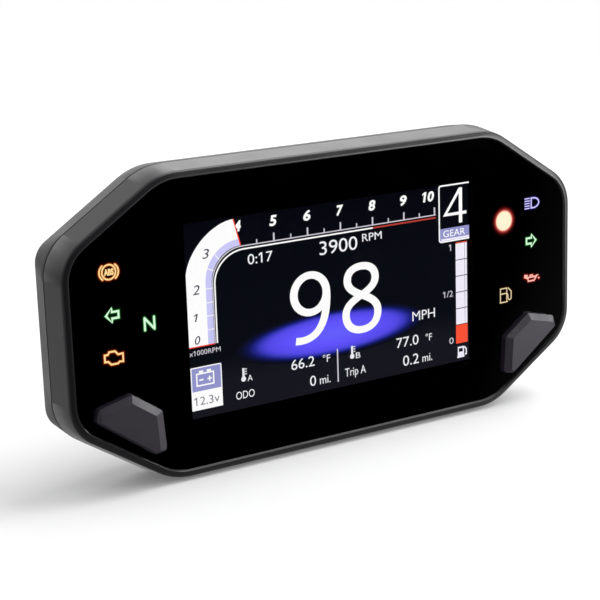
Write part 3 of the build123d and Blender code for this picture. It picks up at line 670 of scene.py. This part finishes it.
def backdrop():
    """The dark of the lit display, a little paler at its foot."""
    half_width, half_height = ACTIVE_SIZE[0] / 2, ACTIVE_SIZE[1] / 2
    stops = [
        (0.0, (24, 23, 31)),
        (0.16, (22, 24, 31)),
        (0.3, (11, 13, 20)),
        (0.8, (9, 11, 18)),
        (1.0, (7, 7, 15)),
    ]
    material = upright_light("display_dark", -half_height, half_height, stops)
    faces = box(-half_width, -half_height, half_width, half_height)
    plate("display_backdrop", faces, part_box("lcd_cell")[0].y, 0, material)


def speed_glow():
    """The flat violet ellipse behind the speed."""
    centre, radii, reach = (-1.2, -10.4), (27.2, 5.9), 1.2
    stops = [
        (0.0, (103, 97, 255)),
        (0.55, (97, 84, 253)),
        (0.80, (84, 74, 232)),
        (0.90, (60, 58, 190)),
        (0.97, (33, 38, 135)),
        (1.04, (17, 21, 78)),
        (1.12, (14, 16, 38)),
        (reach, (11, 13, 20)),
    ]
    moved = (centre[0] + ART_SHIFT[0], centre[1] + ART_SHIFT[1])
    material = radial_light("glow_violet", moved, radii, reach, stops)
    rim = arc(*centre, radii[0] * reach, radii[1] * reach, 0, 360 - 360 / 64, 63)
    display_plate("speed_glow", [rim], 1, material)


def pen(points, width, height, closed=False):
    """A stroke whose upright parts are as wide as width and whose level parts are as high as height."""
    tall = [(x, z * width / height) for x, z in points]
    return [[(x, z * height / width) for x, z in face] for face in stroke(tall, width, closed)]


def speed_digits(white):
    """The figures 98, drawn as strokes."""
    width, height = 2.5, 2.1
    nine = pen(arc(-8.95, 2.2, 5.4, 5.35, 0, 360 - 360 / 40, 39), width, height, closed=True)
    nine += pen(bezier((-3.5, 2.3), (-3.3, -7.7), (-7.4, -11.8), (-14.1, -10.75)), width, height)
    waist, top, bottom, middle = (8.35, -0.8), 7.6, -11.0, 8.35
    high_right = bezier((middle, top), (11.4, top), (13.15, 6.1), (13.15, 3.9), 10)
    high_right += bezier((13.15, 3.9), (13.15, 1.7), (11.2, 0.45), waist, 10)[1:]
    low_left = bezier(waist, (5.1, -2.2), (2.85, -3.5), (2.85, -6.1), 10)[1:]
    low_left += bezier((2.85, -6.1), (2.85, -9.2), (5.0, bottom), (middle, bottom), 10)[1:]
    low_right = [(2 * middle - x, z) for x, z in reversed(low_left[:-1])]
    high_left = [(2 * middle - x, z) for x, z in reversed(high_right)][:-1]
    eight = pen(high_right + low_left + low_right + high_left, width, height, closed=True)
    display_plate("speed_digits", nine + eight, 2, white)


def rev_scale(white, grey, red, dull_red, lavender, ink):
    """The rev counter: its filled bar, the lines along the scale, and the ticks and numbers."""
    outer = [(SCALE_LEFT, SCALE_BOTTOM)] + corner(SCALE_LEFT, 12.0, -32.6, BAR_TOP, 1.75)
    middle = [(BAR_MIDDLE, SCALE_BOTTOM)] + corner(BAR_MIDDLE, 10.2, -31.2, 20.9)
    inner = [(BAR_INNER, SCALE_BOTTOM)] + corner(BAR_INNER, 10.0, -30.7, 19.1)
    display_plate("rev_bar", between(outer, middle), 1, white)
    display_plate("rev_bar_edge", between(middle, inner), 1, lavender)
    mark_lines = [[(BAR_MIDDLE, z), (-39.85, z)] for z in MARK_HEIGHTS]
    mark_lines += [[(-41.2, 14.2), (-39.3, 13.4)], [(-38.7, 17.7), (-37.4, 16.1)]]
    marks = []
    for line in mark_lines:
        marks += stroke(line, MARK_WIDTH)
    display_plate("rev_bar_marks", marks, 2, white)
    ends = stroke([(-32.65, BAR_TOP), (-30.65, 19.1)], 0.32) + box(SCALE_LEFT, -6.9, -39.85, -6.6)
    display_plate("rev_bar_ends", ends, 3, red)

    thin = [(-39.75, SCALE_BOTTOM)] + corner(-39.75, 9.8, -30.2, OUTER_LINE_Z)
    thin.append((SCALE_END, OUTER_LINE_Z))
    thick = [(-39.1, SCALE_BOTTOM)] + corner(-39.1, 9.5, -29.7, SCALE_LINE_Z)
    thick.append((SCALE_RED_FROM, SCALE_LINE_Z))
    hot = [(SCALE_RED_FROM, SCALE_LINE_Z), (SCALE_END, SCALE_LINE_Z)]
    display_plate("rev_line_outer", stroke(thin, 0.3), 2, grey)
    display_plate("rev_line_inner", stroke(thick, 0.42), 2, white)
    display_plate("rev_line_red", stroke(hot, 0.42), 2, dull_red)
    ticks = []
    for thousand in range(5, 11):
        x = RPM_FIVE + RPM_STEP * (thousand - 5)
        ticks += box(x - 0.24, TICK_FOOT, x + 0.24, 21.1)
        ticks += box(x - RPM_STEP / 2 - 0.18, TICK_FOOT, x - RPM_STEP / 2 + 0.18, 20.1)
    display_plate("rev_ticks", ticks, 3, grey)

    bold = {"slant": 0.15, "weight": 0.035}
    numbers = words("4", -32.5, NUMBER_FOOT, -30.3, NUMBER_HEAD, **bold)
    for thousand in range(5, 10):
        x = RPM_FIVE + RPM_STEP * (thousand - 5)
        numbers += words(str(thousand), x - 1.25, NUMBER_FOOT, x + 1.1, NUMBER_HEAD, **bold)
    numbers += words("10", 30.2, NUMBER_FOOT, 34.4, NUMBER_HEAD, **bold)
    display_plate("rev_numbers", numbers, 2, white)
    low = words("0", -46.0, -6.1, -44.3, -3.8, slant=0.2) + words("1", -45.9, 0.2, -44.7, 2.4, slant=0.2)
    low += words("2", -45.9, 7.6, -43.8, 10.2, slant=0.2) + words("3", -42.5, 17.0, -40.4, 19.6, slant=0.2)
    display_plate("rev_numbers_dark", low, 3, ink)
    display_plate("rev_unit", words("x1000RPM", -47.8, -9.15, -38.2, -7.75), 2, grey)


def gear_box(white, pale, lavender):
    """The gear's figure in an open frame, over a band with its name."""
    frame_line = [(GEAR_RIGHT, 27.0), (GEAR_LEFT, 27.0)] + arc(GEAR_LEFT, 26.3, 0.7, 0.7, 90, 180, 6)[1:]
    frame_line += arc(GEAR_LEFT, 11.1, 0.7, 0.7, 180, 270, 6) + [(GEAR_RIGHT, 10.4)]
    display_plate("gear_frame", stroke(frame_line, 0.42), 3, white)
    display_plate("gear_band", box(36.3, 10.5, GEAR_RIGHT, 14.3), 1, lavender)
    display_plate("gear_band_edge", box(GEAR_LEFT, 10.7, GEAR_RIGHT, 11.25), 2, pale)
    display_plate("gear_word", words("GEAR", 37.6, 11.7, 45.6, 13.7), 2, white)
    figure = stroke([(46.15, 18.3), (38.35, 18.3), (43.65, 25.35), (44.1, 25.35)], 0.95)
    figure += box(43.4, 15.4, 44.6, 25.8)
    display_plate("gear_digit", figure, 2, white)


def fuel_gauge(white, grey, red):
    """Five segments and the red reserve, with labels and a pump below."""
    segments = []
    for top, bottom in zip(FUEL_EDGES, FUEL_EDGES[1:]):
        segments += box(FUEL_LEFT, bottom + 0.12, 45.3, top - 0.12)
        segments += box(45.42, bottom + 0.12, FUEL_RIGHT, top - 0.12)
    display_plate("fuel_segments", segments, 2, white)
    display_plate("fuel_top", box(FUEL_LEFT, FUEL_EDGES[0], FUEL_RIGHT, 9.6), 2, red)
    display_plate("fuel_reserve", box(41.95, -21.2, 46.25, -15.55), 2, red)
    labels = words("1", 39.6, 7.4, 40.4, 9.3) + words("1/2", 37.3, -6.5, 40.9, -4.6)
    labels += words("0", 39.4, -20.9, 41.0, -19.0)
    display_plate("fuel_labels", labels, 2, grey)
    pump = box(42.3, -25.7, 45.0, -25.3) + box(42.5, -25.3, 44.8, -23.9) + box(42.5, -22.8, 44.8, -22.3)
    pump += box(42.5, -23.9, 42.9, -22.8) + box(44.4, -23.9, 44.8, -22.8)
    pump += stroke([(44.9, -22.5), (45.7, -23.3), (45.7, -24.9), (45.1, -24.9)], 0.4)
    display_plate("fuel_symbol", pump, 2, white)


def battery_box(white, lavender, ink):
    """A battery symbol over its voltage."""
    display_plate("battery_panel", box(BATTERY_LEFT, BATTERY_MIDDLE, BATTERY_RIGHT, -12.4), 1, lavender)
    display_plate("battery_field", box(BATTERY_LEFT, -24.5, BATTERY_RIGHT, BATTERY_MIDDLE), 1, white)
    rim = [(-47.6, BATTERY_MIDDLE), (-47.6, -12.55), (-38.9, -12.55)]
    rim += arc(-38.9, -13.1, 0.55, 0.55, 90, 0, 5)[1:] + [(-38.35, BATTERY_MIDDLE)]
    case = [(-45.95, -17.65), (-45.95, -14.35), (-40.75, -14.35), (-40.75, -17.65)]
    symbol = stroke(case, 0.4, closed=True)
    symbol += box(-45.2, -14.1, -43.9, -13.5) + box(-42.8, -14.1, -41.5, -13.5)
    symbol += box(-45.2, -16.3, -43.9, -15.9) + box(-42.7, -16.3, -41.3, -15.9)
    symbol += box(-42.2, -16.8, -41.8, -15.4)
    display_plate("battery_symbol", symbol + stroke(rim, 0.3), 2, white)
    display_plate("battery_voltage", words("12.3v", -47.0, -23.2, -39.2, -20.8), 2, ink)


def thermometer(x, letter):
    """A thermometer with its sensor's letter; x is the middle of its tube."""
    faces = disc(x, -18.35, 0.75, 16) + box(x - 0.33, -17.8, x + 0.33, -15.25)
    for z in (-15.6, -16.3, -17.0):
        faces += box(x + 0.45, z - 0.13, x + 1.1, z + 0.13)
    return faces + words(letter, x + 1.25, -19.2, x + 2.85, -17.5)


def readouts(white, grey):
    """The words and figures that stand free on the display: text, left, bottom, right, top."""
    texts = [
        ("0:17", -28.6, 13.4, -20.7, 16.3),
        ("3900", -5.4, 12.6, 7.3, 16.5),
        ("RPM", 9.0, 14.5, 15.7, 16.7),
        ("MPH", 26.0, -11.6, 34.2, -8.8),
        ("66.2", -15.9, -18.8, -8.2, -15.8),
        ("°F", -5.4, -18.4, -2.9, -16.2),
        ("ODO", -34.0, -23.9, -28.1, -21.7),
        ("0", -9.9, -24.6, -7.9, -21.6),
        ("mi.", -6.6, -24.6, -3.0, -22.3),
        ("77.0", 20.2, -18.8, 28.1, -15.8),
        ("°F", 30.7, -18.4, 33.0, -16.2),
        ("Trip A", 2.0, -24.8, 9.2, -21.6),
        ("0.2", 22.4, -24.6, 28.1, -21.5),
        ("mi.", 29.4, -24.6, 33.0, -22.3),
    ]
    faces = []
    for body, left, bottom, right, top in texts:
        faces += words(body, left, bottom, right, top)
    display_plate("readouts", faces, 2, white)
    others = thermometer(-31.4, "A") + thermometer(4.6, "B")
    display_plate("sensor_symbols", others, 2, white)
    display_plate("readout_divider", box(-0.6, -25.0, -0.2, -15.25), 2, grey)


# ---------------------------------------------------------------- tell-tale lamps
def lamp_places(node):
    """Centre of each separate solid of a node, in millimetres, from the top down."""
    maker = bmesh.new()
    maker.from_mesh(nodes[node].data)
    bmesh.ops.remove_doubles(maker, verts=maker.verts, dist=1e-6)
    left = set(maker.verts)
    places = []
    while left:
        group, queue = [], [left.pop()]
        while queue:
            vert = queue.pop()
            group.append(vert)
            for edge in vert.link_edges:
                other = edge.other_vert(vert)
                if other in left:
                    left.discard(other)
                    queue.append(other)
        xs = [v.co.x for v in group]
        zs = [v.co.z for v in group]
        places.append(((min(xs) + max(xs)) / 2 / MM, (min(zs) + max(zs)) / 2 / MM))
    maker.free()
    return sorted(places, key=lambda place: -place[1])


def brake_lamp(width):
    """A ring between two arcs, with ABS in it."""
    faces = stroke(arc(0, 0, 1.95, 1.95, 0, 360 - 360 / 32, 31), width, closed=True)
    faces += stroke(arc(-0.5, 0, 2.25, 2.25, 126, 234, 12), width, round_ends=True)
    faces += stroke(arc(0.5, 0, 2.25, 2.25, -54, 54, 12), width, round_ends=True)
    return faces + words("ABS", -1.4, -0.9, 1.4, 0.9, weight=0.04 + (width - 0.36) / 5)


def turn_lamp(width, side):
    """An outlined arrow; side is 1 for right and -1 for left."""
    points = [(1.8, 0), (0.1, 2.0), (0.1, 0.85), (-1.8, 0.85), (-1.8, -0.85), (0.1, -0.85), (0.1, -2.0)]
    return stroke([(side * x, z) for x, z in points], width, closed=True, sharpest=0.45)


def neutral_lamp(width):
    """The letter N."""
    upright = 1.65
    faces = stroke([(-1.4, -upright), (-1.4, upright)], width, round_ends=True)
    faces += stroke([(1.4, -upright), (1.4, upright)], width, round_ends=True)
    return faces + stroke([(-1.4, upright), (1.4, -upright)], width)


# clockwise from the top of the stub at its left
ENGINE = [(-2.7, 1.0), (-1.75, 1.0), (-1.4, 1.65), (0.3, 1.65), (1.2, 0.65), (2.55, 0.75), (2.55, -1.45)]
ENGINE += [(1.55, -1.3), (1.0, -1.75), (-0.9, -1.75), (-1.8, -0.85), (-2.7, -0.85)]


def engine_lamp(width):
    """The outline of an engine."""
    return stroke(ENGINE, width, closed=True, sharpest=0.5)


def beam_lamp(width):
    """Headlamp bowl with five level rays."""
    bowl = [(0.0, 1.5), (0.0, -1.5)] + arc(0.7, 0, 2.25, 1.5, -80, 80, 16)
    faces = stroke(bowl, width, closed=True)
    for ray in range(5):
        z = 1.5 - 0.75 * ray
        faces += stroke([(-2.55, z), (-0.55, z)], width * 0.8)
    return faces


def oil_lamp(width):
    """An oil can with a drop at its spout."""
    can = [(-1.3, 0.2), (-1.3, -0.95), (1.0, -0.95), (2.1, 0.45), (2.9, 0.55), (1.3, 0.2)]
    faces = stroke(can, width, closed=True, sharpest=0.6)
    faces += stroke([(-1.3, -0.1), (-2.6, 0.5), (-2.6, 1.0), (-1.5, 0.7)], width * 1.3, sharpest=0.6)
    faces += stroke([(-0.6, 0.35), (-0.6, 0.8), (0.4, 0.8), (0.4, 0.35)], width * 0.8)
    return faces + disc(2.85, -0.45, width * 0.6, 12)


def fuel_lamp(width):
    """A fuel pump and its hose."""
    faces = stroke([(-1.8, -2.2), (-1.8, 2.05), (0.65, 2.05), (0.65, -2.2)], width)
    faces += stroke([(-1.8, 0.45), (0.65, 0.45)], width) + stroke([(-2.1, -2.2), (1.0, -2.2)], width)
    hose = [(1.1, 2.1), (2.35, 0.85)] + arc(1.75, -1.1, 0.6, 0.6, 0, -180, 8)[1:] + [(1.0, 0.1), (0.7, 0.3)]
    return faces + stroke(hose, width)


RIGHT_SHIFT = -0.35  # of the printed symbols against their light pipes

TELLTALE_COLOURS = {  # display levels of the symbol, its glow and its haze
    "amber": ((255, 226, 158), (206, 104, 34), (52, 9, 1)),
    "green": ((222, 255, 224), (74, 172, 86), (4, 32, 11)),
    "violet": ((226, 220, 255), (108, 96, 206), (11, 8, 42)),
    "red": ((255, 200, 184), (214, 56, 46), (54, 5, 5)),
    "straw": ((250, 234, 196), (116, 84, 44), (16, 7, 3)),
}


def telltale(name, shape, place, colour, width, dx=0.0, dz=0.0):
    """A lit symbol with two rings of glow round its lines, at a lamp's place."""
    mask_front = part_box("lens_mask")[0].y
    x, z = place[0] + dx, place[1] + dz
    for layer, (part, growth) in enumerate((("haze", 1.0), ("glow", 0.3), ("symbol", 0.0))):
        finish = f"{colour}_{part}"
        levels = TELLTALE_COLOURS[colour][2 - layer]
        material = bpy.data.materials.get(finish) or lit(finish, levels)
        faces = shifted(shape(width + growth), x, z)
        plate(f"{name}_{part}", faces, mask_front, layer, material)


def warning_light(place):
    """The large round lamp: a pale disc in a red halo."""
    stops = [
        (0.0, (255, 246, 214)),
        (0.62, (255, 240, 206)),
        (0.68, (255, 196, 168)),
        (0.73, (198, 88, 78)),
        (0.84, (112, 26, 26)),
        (0.97, (34, 4, 5)),
        (1.12, (0, 0, 0)),
    ]
    radius, reach = 4.3, 1.12
    material = radial_light("warning_light", place, (radius, radius), reach, stops)
    plate("warning_light", disc(*place, radius * reach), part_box("lens_mask")[0].y, 0, material)


def telltales():
    """Every lit symbol, at the light pipe behind it."""
    brake, left_turn, neutral, engine = lamp_places("light_pipes_left")
    beam, warning, right_turn, oil, fuel = lamp_places("light_pipes_right")
    telltale("abs_lamp", brake_lamp, brake, "amber", 0.38, dx=0.05, dz=-0.15)
    telltale("left_turn_lamp", lambda width: turn_lamp(width, -1), left_turn, "green", 0.5, dx=0.3, dz=-0.1)
    telltale("neutral_lamp", neutral_lamp, neutral, "green", 0.54, dx=0.1, dz=-0.15)
    telltale("engine_lamp", engine_lamp, engine, "amber", 0.42, dx=0.15, dz=0.1)
    telltale("high_beam_lamp", beam_lamp, beam, "violet", 0.32, dx=RIGHT_SHIFT)
    telltale("right_turn_lamp", lambda width: turn_lamp(width, 1), right_turn, "green", 0.5, dx=RIGHT_SHIFT)
    telltale("oil_lamp", oil_lamp, oil, "red", 0.44, dx=RIGHT_SHIFT / 2)
    telltale("fuel_lamp", fuel_lamp, fuel, "straw", 0.24, dx=RIGHT_SHIFT / 2)
    warning_light((warning[0] + RIGHT_SHIFT, warning[1] - 0.15))


# ---------------------------------------------------------------- CAD nodes
def finish_node(name, material, rounding=0.0, segments=3):
    """Gives a CAD node its material and, where asked, rounded edges of a radius in millimetres."""
    node = nodes[name]
    node.data.materials.clear()
    node.data.materials.append(material)
    if rounding:
        weld = node.modifiers.new("weld", "WELD")
        weld.merge_threshold = WELD_REACH
        bevel = node.modifiers.new("rounding", "BEVEL")
        bevel.width = rounding * MM
        bevel.segments = segments
        bevel.limit_method = "ANGLE"
        bevel.angle_limit = radians(SHARP_EDGE)
        bevel.harden_normals = True


def slot_material(slot):
    """The finish of one of the record's material slots."""
    makers = {
        "bezel_plastic": lambda: moulded(slot, (0.0065, 0.0063, 0.0078), 0.33, relief=0.008),
        "housing_plastic": lambda: moulded(slot, (0.0095, 0.0100, 0.0104), 0.45, relief=0.012),
        "button_plastic": lambda: moulded(slot, (0.0132, 0.0098, 0.0185), 0.45, relief=0.014),
        "lens_clear": lambda: clear_window(slot),
        "mask_ink": lambda: moulded(slot, BLACK_INK, 0.5, specular=0.0),
        "display_glass": lambda: moulded(slot, BLACK_INK, 0.3, specular=0.0),
        "foam_black": lambda: moulded(slot, (0.012, 0.012, 0.012), 0.95, 0.5, 0.15, contrast=0.5),
        "rubber_black": lambda: moulded(slot, (0.005, 0.005, 0.005), 0.8, grain=0.15, specular=0.15),
        "tin_steel": lambda: lipped_steel(slot),
        "white_plastic": lambda: moulded(slot, (0.75, 0.75, 0.73), 0.5, contrast=0.05),
        "flex_film": lambda: striped(slot, (0.20, 0.07, 0.012), (0.50, 0.22, 0.06), 0.5, "X", 0.3),
        "socket_plastic": lambda: moulded(slot, (0.013, 0.013, 0.014), 0.55, grain=0.6, contrast=0.3),
        "carrier_plastic": lambda: moulded(slot, (0.012, 0.012, 0.012), 0.6, grain=0.4),
        "pipe_clear": lambda: frosted(slot),
        "led_white": lambda: moulded(slot, (0.82, 0.72, 0.30), 0.4, contrast=0.15),
        "board_green": lambda: circuit_board(slot),
        "screw_steel": lambda: moulded(slot, (0.42, 0.42, 0.43), 0.34, metallic=1.0, contrast=0.15),
        "chip_black": lambda: moulded(slot, (0.012, 0.012, 0.012), 0.6, grain=0.2, relief=0.015),
        "can_aluminium": lambda: striped(
            slot, (0.58, 0.58, 0.6), (0.72, 0.72, 0.73), 0.3, "Y", 0.3, 1.0, 0.003
        ),
        "brass": lambda: striped(slot, (0.50, 0.32, 0.09), (0.68, 0.47, 0.17), 0.5, "Y", 0.28, 1.0, 0.02),
        "pin_metal": lambda: moulded(slot, (0.75, 0.55, 0.25), 0.25, metallic=1.0, contrast=0.1),
        "membrane_white": lambda: moulded(slot, (0.8, 0.8, 0.8), 0.9, grain=0.12, relief=0.02),
    }
    return makers[slot]()


def dress_nodes():
    """Every CAD node takes the finish of the slot that the record gives it."""
    finishes = {}
    for subpart in frame["record"]["subparts"]:
        node, slot = subpart["node"], subpart["material_slot"]
        if slot not in finishes:
            finishes[slot] = slot_material(slot)
        finish_node(node, finishes[slot], *ROUNDING.get(node, ()))


make_camera()
make_floor()
make_world()
key_light()
for lamp, settings in SOFTBOXES.items():
    softbox(lamp, *settings)
dress_nodes()

white = lit("display_white", (255, 255, 255), 0.0)
grey = lit("display_grey", (208, 204, 216))
red = lit("display_red", (251, 70, 54))
lavender = lit("display_lavender", (205, 203, 250))
slate = lit("display_slate", (148, 150, 206))
ink = lit("display_ink", (64, 64, 76))
backdrop()
speed_glow()
speed_digits(white)
rev_scale(white, grey, red, lit("display_red_dull", (190, 66, 56)), lavender, ink)
pale = lit("display_pale", (245, 241, 255))
gear_box(white, pale, slate)
fuel_gauge(pale, grey, lit("display_orange", (251, 84, 56)))
battery_box(white, slate, lit("display_ink_pale", (130, 130, 140)))
readouts(lit("display_soft_white", (238, 238, 244)), grey)
telltales()

bpy.context.scene.view_settings.view_transform = "Standard"
